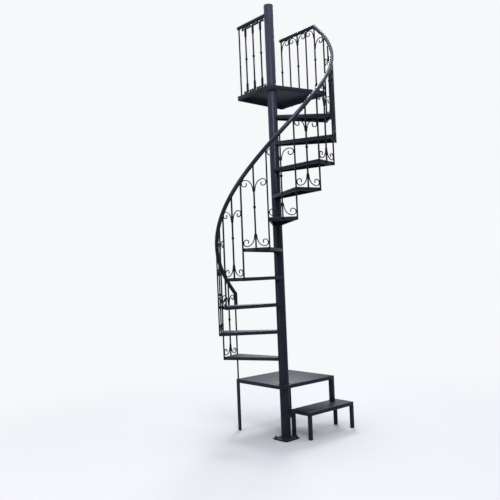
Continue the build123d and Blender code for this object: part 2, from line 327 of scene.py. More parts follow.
def grow(name, tree, values):
    # Evaluates the tree on an empty object and keeps the result as a plain mesh
    holder = newObject(name, bpy.data.meshes.new(name))
    modifier = holder.modifiers.new("grow", "NODES")
    modifier.node_group = tree.tree
    for label, value in values.items():
        modifier[tree.ids[label]] = value
    return settle(holder)


def climbingTree():
    # Copies of a piece up the flight: each a tread's angle on and a riser up
    t = Tree("climbingCopies", [("Piece", "Object"), ("Count", "Int"), ("First Angle", "Float"),
                                ("Angle Step", "Float"), ("First Height", "Float"), ("Rise", "Float"),
                                ("Distance", "Float"), ("Material", "Material")])
    given = t.inputs
    index = t.index()
    angle = t.maths("ADD", given["First Angle"], t.product(index, given["Angle Step"]))
    height = t.maths("ADD", given["First Height"], t.product(index, given["Rise"]))
    points = t.aroundPost(given["Count"], angle, given["Distance"], height)
    turn = t.add("ShaderNodeCombineXYZ", X=0.0, Y=0.0, Z=angle)
    return t.finish(t.copies(points, given["Piece"], Rotation=turn.outputs[0]), given["Material"])


def rowTree():
    # Copies of a piece along a straight line
    t = Tree("rowCopies", [("Piece", "Object"), ("Count", "Int"), ("Start", "Vector"), ("Step", "Vector"),
                           ("Turn", "Vector"), ("Material", "Material")])
    given = t.inputs
    line = t.add("GeometryNodeMeshLine", Count=given["Count"], Start_Location=given["Start"],
                 Offset=given["Step"])
    return t.finish(t.copies(line.outputs[0], given["Piece"], Rotation=given["Turn"]), given["Material"])


def wroughtTree():
    # A square bar with rounded edges swept along the lines of a drawing
    t = Tree("wroughtBar", [("Drawing", "Object"), ("Bar Size", "Float"), ("Edge Round", "Float"),
                            ("Material", "Material")])
    given = t.inputs
    lines = t.add("GeometryNodeMeshToCurve", Mesh=t.shapeOf(given["Drawing"]))
    square = t.add("GeometryNodeCurvePrimitiveQuadrilateral", Width=given["Bar Size"],
                   Height=given["Bar Size"])
    rounded = t.add("GeometryNodeFilletCurve", {"mode": "POLY"}, Curve=square.outputs[0],
                    Radius=given["Edge Round"], Count=2)
    bars = t.add("GeometryNodeCurveToMesh", Curve=lines.outputs[0], Profile_Curve=rounded.outputs[0],
                 Fill_Caps=True)
    return t.finish(bars.outputs[0], given["Material"])


def beadTree():
    # Weld lumps laid one over the next along the lines of a drawing
    t = Tree("weldBeads", [("Drawing", "Object"), ("Lump", "Object"), ("Spacing", "Float"),
                           ("Smallest", "Float"), ("Largest", "Float"), ("Seed", "Int"),
                           ("Material", "Material")])
    given = t.inputs
    lines = t.add("GeometryNodeMeshToCurve", Mesh=t.shapeOf(given["Drawing"]))
    points = t.add("GeometryNodeCurveToPoints", {"mode": "LENGTH"}, Curve=lines.outputs[0],
                   Length=given["Spacing"]).outputs
    size = t.add("FunctionNodeRandomValue", {"data_type": "FLOAT"}, at2=given["Smallest"],
                 at3=given["Largest"], Seed=given["Seed"])
    laid = t.copies(points["Points"], given["Lump"], Rotation=points["Rotation"], Scale=size.outputs[1])
    return t.finish(laid, given["Material"])


def risingTubeTree():
    # The handrail's rule: a tube that turns and climbs evenly round the post
    t = Tree("risingTube", [("First Angle", "Float"), ("Turn", "Float"), ("First Height", "Float"),
                            ("Climb", "Float"), ("Distance", "Float"), ("Points", "Int"),
                            ("Tube Radius", "Float"), ("Sides", "Int"), ("Material", "Material")])
    given = t.inputs
    share = t.maths("DIVIDE", t.index(), t.maths("SUBTRACT", given["Points"], 1.0))
    angle = t.maths("ADD", given["First Angle"], t.product(share, given["Turn"]))
    height = t.maths("ADD", given["First Height"], t.product(share, given["Climb"]))
    points = t.aroundPost(given["Points"], angle, given["Distance"], height)
    path = t.add("GeometryNodeMeshToCurve", Mesh=points)
    ring = t.add("GeometryNodeCurvePrimitiveCircle", Resolution=given["Sides"], Radius=given["Tube Radius"])
    tube = t.add("GeometryNodeCurveToMesh", Curve=path.outputs[0], Profile_Curve=ring.outputs[0],
                 Fill_Caps=True)
    return t.finish(tube.outputs[0], given["Material"])


climbing, row, wrought = climbingTree(), rowTree(), wroughtTree()
beads, risingTube = beadTree(), risingTubeTree()
print("node trees built")


def copiesUp(name, piece, count, firstAngle, firstHeight, distance, slot):
    # The piece itself is taken away once it is copied, here and in copiesAlong
    made = grow(name, climbing, {
        "Piece": piece, "Count": count, "First Angle": firstAngle, "Angle Step": treadStep,
        "First Height": firstHeight, "Rise": stair["riser"], "Distance": distance, "Material": paints[slot]})
    discard(piece)
    return made


def copiesAlong(name, piece, count, start, step, slot, turn=0.0):
    made = grow(name, row, {
        "Piece": piece, "Count": count, "Start": start, "Step": step, "Turn": (0.0, 0.0, turn),
        "Material": paints[slot]})
    discard(piece)
    return made


# Materials

class Shade(Nodes):
    # Shader nodes that the paint, the floor and the sky share
    def ramp(self, value, low, high):
        # From 0 at low to 1 at high
        return self.add("ShaderNodeMapRange", Value=value, From_Min=low, From_Max=high).outputs[0]

    def mix(self, share, a, b):
        return self.add("ShaderNodeMix", {"data_type": "RGBA"}, at0=share, at6=a, at7=b).outputs[2]

    def noise(self, position, sizes):
        return self.add("ShaderNodeTexNoise", Vector=position, **sizes).outputs["Fac"]

    def stretched(self, position, scale):
        return self.add("ShaderNodeMapping", Vector=position, Scale=scale).outputs[0]

    def split(self, vector):
        return self.add("ShaderNodeSeparateXYZ", Vector=vector).outputs

    def facingUp(self, low, high):
        return self.ramp(self.split(self.add("ShaderNodeNewGeometry").outputs["Normal"])["Z"], low, high)


def shaderGroup(name, inputs, outputs):
    # Gives the group's Shade, what comes in and what goes out
    tree = bpy.data.node_groups.new(name, "ShaderNodeTree")
    for label, kind, value in inputs:
        socket = tree.interface.new_socket(label, in_out="INPUT", socket_type="NodeSocket" + kind)
        if value is not None:
            socket.default_value = value
    for label, kind in outputs:
        tree.interface.new_socket(label, in_out="OUTPUT", socket_type="NodeSocket" + kind)
    given = tree.nodes.new("NodeGroupInput").outputs
    target = tree.nodes.new("NodeGroupOutput").inputs
    return Shade(tree), given, target


brushing = {
    "drift": {"Scale": 5.5, "Detail": 4.0, "Roughness": 0.6}, "faded": (0.42, 0.72), "fadedRough": 0.08,
    "laps": {"Scale": 1.0, "Detail": 3.0}, "lapStretch": (130, 130, 9), "lapRough": 0.18, "lapHeight": 0.6,
    "peel": {"Scale": 520.0, "Detail": 2.0}, "peelHeight": 0.4,
}


def brushedPaintGroup():
    # Hand-painted enamel: faint lap marks, orange peel and slow colour drift
    s, given, target = shaderGroup(
        "brushedPaint",
        [("Position", "Vector", None), ("Paint", "Color", (0.02, 0.02, 0.03, 1)),
         ("Faded", "Color", (0.05, 0.05, 0.06, 1)), ("Gloss", "Float", 0.35)],
        [("Colour", "Color"), ("Roughness", "Float"), ("Height", "Float")])
    fade = s.ramp(s.noise(given["Position"], brushing["drift"]), *brushing["faded"])
    peel = s.noise(given["Position"], brushing["peel"])
    laps = s.noise(s.stretched(given["Position"], brushing["lapStretch"]), brushing["laps"])
    s.link(s.mix(fade, given["Paint"], given["Faded"]), target["Colour"])
    unevenness = s.product(s.maths("SUBTRACT", laps, 0.5), brushing["lapRough"])
    rough = s.maths("ADD", given["Gloss"], unevenness)
    s.link(s.maths("ADD", rough, s.product(fade, brushing["fadedRough"])), target["Roughness"])
    height = s.maths("ADD", s.product(peel, brushing["peelHeight"]), s.product(laps, brushing["lapHeight"]))
    s.link(height, target["Height"])
    return s.tree


dusting = {
    "facing": (0.35, 0.95),
    "patches": {"Scale": 14.0, "Detail": 6.0, "Roughness": 0.65}, "patchy": (0.3, 0.75),
    "grit": {"Scale": 260.0, "Detail": 2.0}, "gritty": (0.25, 0.7),
}


def settledDustGroup():
    # Dust lies on what faces up, in uneven patches
    s, given, target = shaderGroup(
        "settledDust",
        [("Position", "Vector", None), ("Colour", "Color", (0.02, 0.02, 0.03, 1)),
         ("Dust", "Color", (0.2, 0.18, 0.16, 1)), ("Amount", "Float", 0.3)],
        [("Colour", "Color"), ("Mask", "Float")])
    patches = s.ramp(s.noise(given["Position"], dusting["patches"]), *dusting["patchy"])
    grit = s.ramp(s.noise(given["Position"], dusting["grit"]), *dusting["gritty"])
    cover = s.product(s.facingUp(*dusting["facing"]), s.product(patches, grit))
    mask = s.maths("MULTIPLY", cover, given["Amount"], clamp=True)
    s.link(s.mix(mask, given["Colour"], given["Dust"]), target["Colour"])
    s.link(mask, target["Mask"])
    return s.tree


rusting = {
    "fleck": (0.24, 0.12),    # of the distance to a cell's middle
    "clusters": {"Scale": 7.0, "Detail": 5.0, "Roughness": 0.7}, "clustered": (0.56, 0.68),
    "tint": {"Scale": 90.0, "Detail": 3.0}, "dark": (0.09, 0.03, 0.012, 1), "light": (0.21, 0.075, 0.025, 1),
}


def rustFlecksGroup():
    # Pin-head rust where the paint has chipped, in loose clusters
    s, given, target = shaderGroup(
        "rustFlecks",
        [("Position", "Vector", None), ("Colour", "Color", (0.02, 0.02, 0.03, 1)),
         ("Amount", "Float", 0.3), ("Grain", "Float", 160.0)],
        [("Colour", "Color"), ("Mask", "Float")])
    cells = s.add("ShaderNodeTexVoronoi", Vector=given["Position"], Scale=given["Grain"])
    flecks = s.ramp(cells.outputs["Distance"], *rusting["fleck"])
    clusters = s.ramp(s.noise(given["Position"], rusting["clusters"]), *rusting["clustered"])
    mask = s.maths("MULTIPLY", s.product(flecks, clusters), given["Amount"], clamp=True)
    rust = s.mix(s.noise(given["Position"], rusting["tint"]), rusting["dark"], rusting["light"])
    s.link(s.mix(mask, given["Colour"], rust), target["Colour"])
    s.link(mask, target["Mask"])
    return s.tree


paintGroup, dustGroup, rustGroup = brushedPaintGroup(), settledDustGroup(), rustFlecksGroup()

shoeWear = {
    "inner": (0.16, 0.30), "outer": (0.54, 0.42),    # the worn lane's two sides, measured from the axis
    "scuffs": {"Scale": 38.0, "Detail": 8.0, "Roughness": 0.72}, "scuffed": (0.46, 0.66),
    "facing": (0.8, 0.98),
}


def shoeWearMask(s, position):
    # Paint thinned by shoes over the middle of each tread and plate
    x, y = s.split(position)[:2]
    away = s.maths("SQRT", s.maths("ADD", s.product(x, x), s.product(y, y)))
    lane = s.product(s.ramp(away, *shoeWear["inner"]), s.ramp(away, *shoeWear["outer"]))
    scuffs = s.ramp(s.noise(position, shoeWear["scuffs"]), *shoeWear["scuffed"])
    return s.product(lane, scuffs, s.facingUp(*shoeWear["facing"]))


# How chalking and painted sky light lighten the post's paint up its height
chalkAndSkyLight = {
    "heights": (2.3, 3.9), "stretch": (30, 30, 1.2), "streaks": {"Scale": 1.0, "Detail": 4.0},
    "streaky": (0.2, 0.7), "rough": 0.25,
}


def chalkAndSkyLightMask(s, position, amount):
    # Chalked paint and painted sky light: the paint turns lighter and bluer in streaks towards the open top
    streaks = s.ramp(s.noise(s.stretched(position, chalkAndSkyLight["stretch"]), chalkAndSkyLight["streaks"]), *chalkAndSkyLight["streaky"])
    return s.product(s.ramp(s.split(position)["Z"], *chalkAndSkyLight["heights"]), s.product(streaks, amount))


matting = {"dust": 0.45, "rust": 0.4}    # how much rougher than the paint
bumpDepth = 0.0004


def ironMaterial(name, look):
    material = bpy.data.materials.new(name)
    material.use_nodes = True
    s = Shade(material.node_tree)
    position = s.add("ShaderNodeTexCoord").outputs["Object"]
    paint = s.add("ShaderNodeGroup", {"node_tree": paintGroup}, Position=position, Paint=look["paint"],
                  Faded=look["faded"], Gloss=look["gloss"]).outputs
    rust = s.add("ShaderNodeGroup", {"node_tree": rustGroup}, Position=position, Colour=paint["Colour"],
                 Amount=look["rust"], Grain=look["rustGrain"]).outputs
    dust = s.add("ShaderNodeGroup", {"node_tree": dustGroup}, Position=position, Colour=rust["Colour"],
                 Dust=look["dustColour"], Amount=look["dust"]).outputs
    colour = dust["Colour"]
    rough = s.maths("ADD", paint["Roughness"], s.product(dust["Mask"], matting["dust"]))
    rough = s.maths("ADD", rough, s.product(rust["Mask"], matting["rust"]), clamp=True)
    if "shoeWear" in look:
        worn = s.product(shoeWearMask(s, position), look["shoeWear"])
        colour = s.mix(worn, colour, look["wornColour"])
    # Painted sky light with chalking: lighter, bluer paint up the post
    if "chalkingAndSkyLight" in look:
        chalkedAndSkyLit = chalkAndSkyLightMask(s, position, look["chalkingAndSkyLight"])
        colour = s.mix(chalkedAndSkyLit, colour, look["chalkAndSkyLightColour"])
        rough = s.maths("ADD", rough, s.product(chalkedAndSkyLit, chalkAndSkyLight["rough"]), clamp=True)
    bump = s.add("ShaderNodeBump", Height=paint["Height"], Strength=look["texture"], Distance=bumpDepth)
    shader = s.tree.nodes["Principled BSDF"].inputs
    s.link(colour, shader["Base Color"])
    s.link(rough, shader["Roughness"])
    s.link(bump.outputs[0], shader["Normal"])
    shader["Specular IOR Level"].default_value = look["reflect"]
    shader["Specular Tint"].default_value = look["tint"]
    return material


charcoal = {
    "paint": (0.0088, 0.0096, 0.0160, 1), "faded": (0.0150, 0.0160, 0.0245, 1), "gloss": 0.28,
    "rust": 0.55, "rustGrain": 170.0, "dust": 0.35, "dustColour": (0.16, 0.15, 0.145, 1),
    "texture": 0.35, "reflect": 0.22, "tint": (0.76, 0.84, 1.0, 1),
}
looks = {
    # The post's paint is lighter and bluer towards its top, as chalking and painted sky light
    "post_paint": dict(charcoal, reflect=0.19, chalkingAndSkyLight=0.75, chalkAndSkyLightColour=(0.046, 0.050, 0.078, 1)),
    "rail_paint": dict(charcoal, gloss=0.22, dust=0.10, rust=0.25, texture=0.18, reflect=0.36),
    "bar_paint": dict(charcoal, paint=(0.0062, 0.0066, 0.0108, 1), faded=(0.0105, 0.0110, 0.0165, 1),
                      gloss=0.32, dust=0.16, rust=0.5, reflect=0.13),
    "frame_paint": dict(charcoal, gloss=0.34, rust=0.7, dust=0.3),
    "tread_paint": dict(charcoal, gloss=0.36, rust=0.6, dust=0.5, shoeWear=0.45,
                        wornColour=(0.10, 0.098, 0.10, 1)),
}
paints = {slot: ironMaterial(slot, look) for slot, look in looks.items()}
print("materials built:", len(paints))

# Every CAD node takes the paint of its slot
slotOf = {part["node"]: part["material_slot"] for part in frame["record"]["subparts"]}
for name, node in frame["nodes"].items():
    node.data.materials.clear()
    node.data.materials.append(paints[slotOf[name]])


def place(piece, slot, *nodes):
    # Every piece rides the one body, and stands for the CAD nodes that are named
    if not piece.data.materials:
        piece.data.materials.append(paints[slot])
    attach(piece, "root")
    if nodes:
        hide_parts(*nodes)
    print("placed", piece.name, len(piece.data.polygons), "faces")


# Treads, plates, frames and legs

edgeRounds = {"pan": 0.0015, "plate": 0.001, "frame": 0.0015, "leg": 0.003, "base": 0.0015}
sheets = {
    "platform_plate": "plate", "step_plate": "plate", "landing_plate": "plate",
    "platform_frame": "frame", "step_frame": "frame", "landing_frame": "frame",
    "platform_front_leg": "leg", "step_legs": "leg", "platform_wall_legs": "plate", "base_plate": "base",
}


def buildTreads():
    # One folded pan brought home to the X axis, then a copy for every rise
    home = Matrix.Rotation(-edgeAngle(0.5), 4, "Z") @ Matrix.Translation((0, 0, -treadTop(0)))
    pan = softEdged("treadPan", "tread_01", edgeRounds["pan"], home)
    return copiesUp("treadPans", pan, stair["treads"], edgeAngle(0.5), treadTop(0), 0.0, "tread_paint")


def buildSheet(node, kind):
    first, *others = node.split("_")
    return softEdged(first + "".join(word.title() for word in others), node, edgeRounds[kind])


place(buildTreads(), "tread_paint", *[f"tread_{n + 1:02d}" for n in range(stair["treads"])])
for node, kind in sheets.items():
    place(buildSheet(node, kind), slotOf[node], node)


# The post

post = {"sides": 96, "capRound": 0.003, "seamDown": 0.006, "seamHalf": 0.0005, "seamDepth": 0.0003}


def buildPost():
    # A filed seam runs round under the cap's rounded edge
    bm = bmesh.new()
    radius, rounding = stair["postRadius"], post["capRound"]
    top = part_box("centre_post")[1].z
    seam = top - post["seamDown"]
    profile = [(radius, stair["baseTop"]), (radius, seam - post["seamHalf"]),
               (radius - post["seamDepth"], seam), (radius, seam + post["seamHalf"])]
    for angle in (0, 30, 60, 90):
        inwards = rounding * (1 - cos(radians(angle)))
        profile.append((radius - inwards, top - rounding * (1 - sin(radians(angle)))))
    addLathe(bm, profile, post["sides"])
    return newObject("postTube", meshFromBm("postTube", bm))


place(buildPost(), "post_paint", "centre_post")


# The rails

rail = {
    "sides": 32, "stepsPerTread": 10, "spare": 0.2, "mitreSpare": 0.03, "returnLength": 0.125,
    "rightBars": 5, "rightEndMargin": 0.028, "overrun": 0.015, "leftOffset": 0.03, "leftStart": 0.02,
    "leftFirst": 0.092, "leftSpacing": 0.107, "leftScrolls": 3, "leftEndMargin": 0.025,
}
rightX = stair["radius"] * cos(edgeAngle(stair["treads"])) + stair["bar"] / 2
rightFirstY = barRadius * sin(edgeAngle(stair["treads"]))
rail["barSpacing"] = (stair["landingBack"] - rail["rightEndMargin"] - rightFirstY) / rail["rightBars"]
peakY = rightFirstY + rail["barSpacing"]
peakLevel = railLevel(stair["treads"]) + railSlope * rail["barSpacing"]
rightEndY = stair["landingBack"] - rail["rightEndMargin"] + rail["overrun"]
leftEndY = stair["landingBack"] - rail["leftEndMargin"]


def helixPoint(n):
    return polar(edgeAngle(n), helixRadius, railLevel(n))


def helixWay(n):
    return Vector((-sin(edgeAngle(n)), cos(edgeAngle(n)), railSlope)).normalized()


# Where the rail's straight runs meet, and the normals of the mitres there
footPoint, headPoint = helixPoint(0), helixPoint(stair["treads"])
peakPoint, endPoint = Vector((rightX, peakY, peakLevel)), Vector((rightX, rightEndY, peakLevel))
runWay = (peakPoint - headPoint).normalized()
footMitre = (helixWay(0) + Vector((0, 0, 1))).normalized()
headMitre = (helixWay(stair["treads"]) + runWay).normalized()
peakMitre = (runWay + Vector((0, 1, 0))).normalized()


def buildRail():
    # The rising tube, cut to a mitre at both ends, with its vertical end and the landing's run
    covered = stair["treads"] + 2 * rail["spare"]
    tube = grow("risingTube", risingTube, {
        "First Angle": edgeAngle(-rail["spare"]), "Turn": treadStep * covered,
        "First Height": railLevel(-rail["spare"]), "Climb": stair["riser"] * covered,
        "Distance": helixRadius, "Points": int(rail["stepsPerTread"] * covered) + 1,
        "Tube Radius": stair["railRadius"], "Sides": rail["sides"], "Material": paints["rail_paint"]})
    whole = bmesh.new()
    whole.from_mesh(tube.data)
    discard(tube)
    cutAt(whole, footPoint, footMitre)
    cutAt(whole, headPoint, -headMitre)
    down = Vector((0, 0, rail["returnLength"]))
    returnEnd = [footPoint + down / 2, footPoint - down]
    landingRun = [headPoint - runWay * rail["mitreSpare"], peakPoint, endPoint]
    for path, point, normal in ((returnEnd, footPoint, -footMitre), (landingRun, headPoint, headMitre)):
        run = bmesh.new()
        addTube(run, path, stair["railRadius"], rail["sides"])
        cutAt(run, point, normal)
        whole.from_mesh(plainMesh("railRun", run))
    return newObject("handrailTube", meshFromBm("handrailTube", whole, 25))


def buildLeftRail():
    bm = bmesh.new()
    x = -rail["leftOffset"]
    ends = [(x, rail["leftStart"], peakLevel), (x, leftEndY + rail["overrun"], peakLevel)]
    addTube(bm, ends, stair["railRadius"], rail["sides"])
    return newObject("leftRailTube", meshFromBm("leftRailTube", bm))


place(buildRail(), "rail_paint", "handrail", "handrail_return", "landing_rail_right")
place(buildLeftRail(), "rail_paint", "landing_rail_left")


# The balusters

scroll = {
    "bar": 0.008, "round": 0.0016, "root": 0.102, "footGap": 0.009, "leastLead": 0.002, "drop": 0.135,
    "bends": ((1.17, 28.0), (0.665, 62.0), (0.274, 180.0), (0.17, 120.0)),    # radius share of reach, turn
    "degreesPerStep": 7.0, "knobLevel": 0.345, "knobSides": 28, "clearance": 0.002,
    "rootSunk": 0.001, "footLift": 0.001,
}
lumps = {
    "root": {"size": (0.0038, 0.0036, 0.0120)},
    "eye": {"size": (0.0050, 0.0056, 0.0056), "sides": 14, "rows": 9, "uneven": 0.03},
    "touch": {"size": (0.0026, 0.0022, 0.0052)},
    "foot": {"size": (0.0092, 0.0092, 0.0026), "seed": 2, "sides": 12, "rows": 5},
    "levelRail": {"size": (0.0078, 0.0078, 0.0032), "seed": 4, "sides": 12, "rows": 7},
    "slopingRail": {"size": (0.0078, 0.0078, 0.00608), "seed": 4, "sides": 12, "rows": 7},
}
scroll["stem"] = stair["bar"] / 2 + scroll["bar"] / 2
firstShare, firstTurn = scroll["bends"][0]
crownShare = scroll["bends"][1][0]
scroll["rise"] = (firstShare - crownShare) * sin(radians(firstTurn)) + crownShare    # height for a reach of 1
knobHalf = [(0, 0.0128), (0.0042, 0.0122), (0.0066, 0.0108), (0.0082, 0.0094), (0.0098, 0.0098),
            (0.0108, 0.0088), (0.011, 0.0065)]    # height from the knob's middle, radius
knobProfile = [(r, -z) for z, r in knobHalf[:0:-1]] + [(r, z) for z, r in knobHalf]


def scrollLine(side, way, root, lead, reach):
    # Points of one scroll in the bar's plane: across, up
    spot = Vector((side * scroll["stem"], root))
    points = [spot.copy()]
    heading = 90.0 * way
    spot = spot + Vector((0, way * lead))
    points.append(spot.copy())
    for share, turn in scroll["bends"]:
        steps = max(2, ceil(turn / scroll["degreesPerStep"]))
        half = turn / steps / 2
        chord = 2 * share * reach * sin(radians(half))
        for _ in range(steps):
            heading -= side * way * half
            spot = spot + Vector((cos(radians(heading)), sin(radians(heading)))) * chord
            points.append(spot.copy())
            heading -= side * way * half
    return points


def scrollLines(sides):
    # sides: (side, reach, crown) for each side of the bar that has scrolls
    lines = []
    for side, reach, crown in sides:
        foot = scroll["footGap"] + scroll["bar"] / 2
        lead = max(scroll["root"] - foot - scroll["rise"] * reach, scroll["leastLead"])
        height = lead + scroll["rise"] * reach
        for way, root in ((-1, foot + height), (1, crown - height)):
            lines.append((side, [Vector((0, p.x, p.y)) for p in scrollLine(side, way, root, lead, reach)]))
    return lines


def addStandingBar(bm, low, high, sloping):
    # A bar, the weld where it runs into the rail, and one at its foot where it stands on a plate
    addBar(bm, low, high, stair["bar"])
    halfRail = stair["railRadius"] * (sqrt(1 + railSlope ** 2) if sloping else 1)
    addLump(bm, Vector((0, 0, high - halfRail)), **lumps["slopingRail" if sloping else "levelRail"])
    if low == 0:
        addLump(bm, Vector((0, 0, scroll["footLift"])), **lumps["foot"])


def scrollBaluster(name, low, high, sides, sloping=True):
    # A bar with its knob and scrolls, at the origin: X outwards, Y along, Z up
    lines = scrollLines(sides)
    paths = drawing("scrollDrawing", [line for side, line in lines])
    swept = grow(name + "Scrolls", wrought, {"Drawing": paths, "Bar Size": scroll["bar"],
                                             "Edge Round": scroll["round"], "Material": paints["bar_paint"]})
    bm = bmesh.new()
    bm.from_mesh(swept.data)
    discard(paths, swept)
    for n, (side, line) in enumerate(lines):
        # The welded root, the forged eye in the curl and the weld to the next bar
        outermost = max(line, key=lambda p: side * p.y)
        addLump(bm, line[0] - Vector((0, side * scroll["rootSunk"], 0)), seed=n, **lumps["root"])
        addLump(bm, line[-1], seed=n + 3, **lumps["eye"])
        addLump(bm, outermost + Vector((0, side * scroll["bar"] / 2, 0)), seed=n + 5, **lumps["touch"])
    addStandingBar(bm, low, high, sloping)
    addLathe(bm, knobProfile, scroll["knobSides"], Vector((0, 0, scroll["knobLevel"])))
    return newObject(name, meshFromBm(name, bm, 40))


def plainBar(name, low, high, sloping=True):
    bm = bmesh.new()
    addStandingBar(bm, low, high, sloping)
    return newObject(name, meshFromBm(name, bm))


# How far scrolls reach from their stems, and how high crowns and rails stand over a tread or the landing
halfBay = barRadius * sin(halfAngle)
bayReach = halfBay - stair["bar"] / 2 - scroll["bar"] / 2 - scroll["stem"]
firstBayReach = bayReach - (stair["solidRail"] - stair["bar"] / 2) - scroll["clearance"]
bayRail = stair["railHeight"] + stair["riser"] / 2
bayCrown = bayRail - scroll["drop"]
levelRail = peakLevel - stair["landingTop"]
levelCrown = levelRail - stair["solidRail"] - scroll["bar"] / 2
rightReach = rail["barSpacing"] - stair["bar"] / 2 - scroll["bar"] / 2 - scroll["stem"]
leftReach = (rail["leftSpacing"] - scroll["clearance"] - scroll["bar"]) / 2 - scroll["stem"]
# Bars reach down to the lower edges of the pans and of the landing's frame
panFoot = -stair["panDepth"]
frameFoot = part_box("landing_frame")[0].z - stair["landingTop"]
# The landing's bars stand in two rows along Y
rightStep = Vector((0, rail["barSpacing"], 0))
rightStart = Vector((rightX, rightFirstY, stair["landingTop"]))
leftStep = Vector((0, rail["leftSpacing"], 0))
leftStart = Vector((-rail["leftOffset"], rail["leftFirst"], stair["landingTop"]))
leftEnd = Vector((-rail["leftOffset"], leftEndY, stair["landingTop"]))


def bothSides(reach, crown):
    return [(-1, reach, crown), (1, reach, crown)]


def buildScrollBars():
    # One bay for each tread, then every second bar on the landing's right and three on its left
    slot = "bar_paint"
    firstSides = [(-1, firstBayReach, bayCrown), (1, bayReach, bayCrown)]
    peakSides = [(-1, rightReach - scroll["clearance"], levelRail - scroll["drop"]),
                 (1, rightReach, levelCrown)]
    rightSides = bothSides(rightReach, levelCrown)
    first = scrollBaluster("firstBay", panFoot, bayRail, firstSides)
    flight = scrollBaluster("flightBay", panFoot, bayRail, bothSides(bayReach, bayCrown))
    peak = scrollBaluster("peakBay", frameFoot, levelRail, peakSides)
    right = scrollBaluster("rightBay", frameFoot, levelRail, rightSides, sloping=False)
    end = scrollBaluster("endBay", frameFoot, levelRail, rightSides[:1], sloping=False)
    left = scrollBaluster("leftBay", 0.0, levelRail, bothSides(leftReach, levelCrown), sloping=False)
    return joined("scrollBars", [
        copiesUp("firstBays", first, 1, edgeAngle(0.5), treadTop(0), bayDistance, slot),
        copiesUp("flightBays", flight, stair["treads"] - 1, edgeAngle(1.5), treadTop(1), bayDistance, slot),
        copiesAlong("peakBays", peak, 1, rightStart + rightStep, rightStep, slot),
        copiesAlong("rightBays", right, 1, rightStart + rightStep * 3, rightStep, slot),
        copiesAlong("endBays", end, 1, rightStart + rightStep * 5, rightStep, slot),
        copiesAlong("leftBays", left, rail["leftScrolls"], leftStart, leftStep, slot),
    ], slot, 40)


def buildPlainBars():
    # One at each joint between treads, and the bars between and behind the landing's scrolls
    slot = "bar_paint"
    foot = plainBar("footBar", 0.0, railLevel(0) - rail["returnLength"] - stair["platformTop"])
    flight = plainBar("flightBar", panFoot, stair["railHeight"] + stair["riser"])
    right = plainBar("rightBar", frameFoot, levelRail, sloping=False)
    left = plainBar("leftBar", 0.0, levelRail, sloping=False)
    return joined("plainBars", [
        copiesUp("footBars", foot, 1, edgeAngle(0), stair["platformTop"], barRadius, slot),
        copiesUp("flightBars", flight, stair["treads"], edgeAngle(1), treadTop(0), barRadius, slot),
        copiesAlong("rightBars", right, 2, rightStart + rightStep * 2, rightStep * 2, slot),
        copiesAlong("leftBars", left, 1, leftEnd, leftStep, slot),
    ], slot, 40)


place(buildScrollBars(), "bar_paint", "scroll_balusters")
place(buildPlainBars(), "bar_paint", "plain_balusters")


# Weld beads

weld = {
    "lump": {"size": (0.0034, 0.0030, 0.0024), "sides": 8, "rows": 4}, "seed": 7,
    "spacing": 0.0030, "smallest": 0.8, "largest": 1.15,
    "arc": 72.0, "arcSteps": 24, "circleSteps": 48,
    "offPost": 0.0005, "underPlate": 0.003, "depths": (0.027, 0.003),    # depths below a tread's top
    "scrollBarGap": 0.0006, "plainBarGap": 0.0008, "jointHalf": 0.0035,
}
seams = {"sunk": 0.0012, "steps": 24, "spacing": 0.0022, "smallest": 0.7, "largest": 0.9}


def arcLine(height, first=0.0, last=360.0, steps=weld["circleSteps"]):
    radius = stair["postRadius"] + weld["offPost"]
    return [polar(radians(first + (last - first) * i / steps), radius, height) for i in range(steps + 1)]


def barLines(angle, distance, half, top):
    # An upright line on each side of a bar, down a tread's edge
    out = polar(angle, 1.0, 0.0)
    across = Vector((-out.y, out.x, 0))
    lines = []
    for way in (-1, 1):
        spot = out * distance + across * (way * half)
        lines.append([spot + Vector((0, 0, top - depth)) for depth in weld["depths"]])
    return lines


def weldLines():
    # Where plates meet the post, and where bars meet the sides of treads
    lines = []
    treads, side = stair["treads"], stair["bar"] / 2
    for n in range(treads):
        middle = degrees(edgeAngle(n + 0.5))
        for height in (treadTop(n), treadTop(n) - stair["panDepth"]):
            lines.append(arcLine(height, middle - weld["arc"], middle + weld["arc"], weld["arcSteps"]))
    for node in ("platform_plate", "landing_plate"):
        lines.append(arcLine(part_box(node)[1].z))
    for node in ("platform_plate", "landing_plate"):
        lines.append(arcLine(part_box(node)[0].z - weld["underPlate"]))
    lines.append(arcLine(stair["baseTop"]))
    for n in range(treads):
        gap = weld["scrollBarGap"]
        lines += barLines(edgeAngle(n + 0.5), bayDistance - side + gap, side + gap, treadTop(n))
    for n in range(treads + 1):
        for tread in (n - 1, n):
            if 0 <= tread < treads:
                distance = barRadius - side - weld["plainBarGap"]
                lines += barLines(edgeAngle(n), distance, weld["jointHalf"], treadTop(tread))
    return lines


def seamRing(point, normal):
    # Round the rail where it is mitred, sunk so that it looks filed nearly flush
    radius = stair["railRadius"] - seams["sunk"]
    side = normal.orthogonal().normalized()
    other = normal.cross(side)
    corners = circle(seams["steps"])
    return [point + (side * x + other * y) * radius for x, y in corners + corners[:1]]


def layBeads(name, lines, sizes, slot):
    bm = bmesh.new()
    addLump(bm, Vector(), **weld["lump"])
    lump = newObject("weldLump", meshFromBm("weldLump", bm, 180))
    paths = drawing("weldLines", lines)
    laid = grow(name, beads, {
        "Drawing": paths, "Lump": lump, "Spacing": sizes["spacing"], "Smallest": sizes["smallest"],
        "Largest": sizes["largest"], "Seed": weld["seed"], "Material": paints[slot]})
    laid.data.shade_smooth()
    discard(paths, lump)
    return laid


mitres = ((footPoint, footMitre), (headPoint, headMitre), (peakPoint, peakMitre))
place(layBeads("weldBeads", weldLines(), weld, "frame_paint"), "frame_paint")
place(layBeads("railSeams", [seamRing(*mitre) for mitre in mitres], seams, "rail_paint"), "rail_paint")


# Anchor bolts

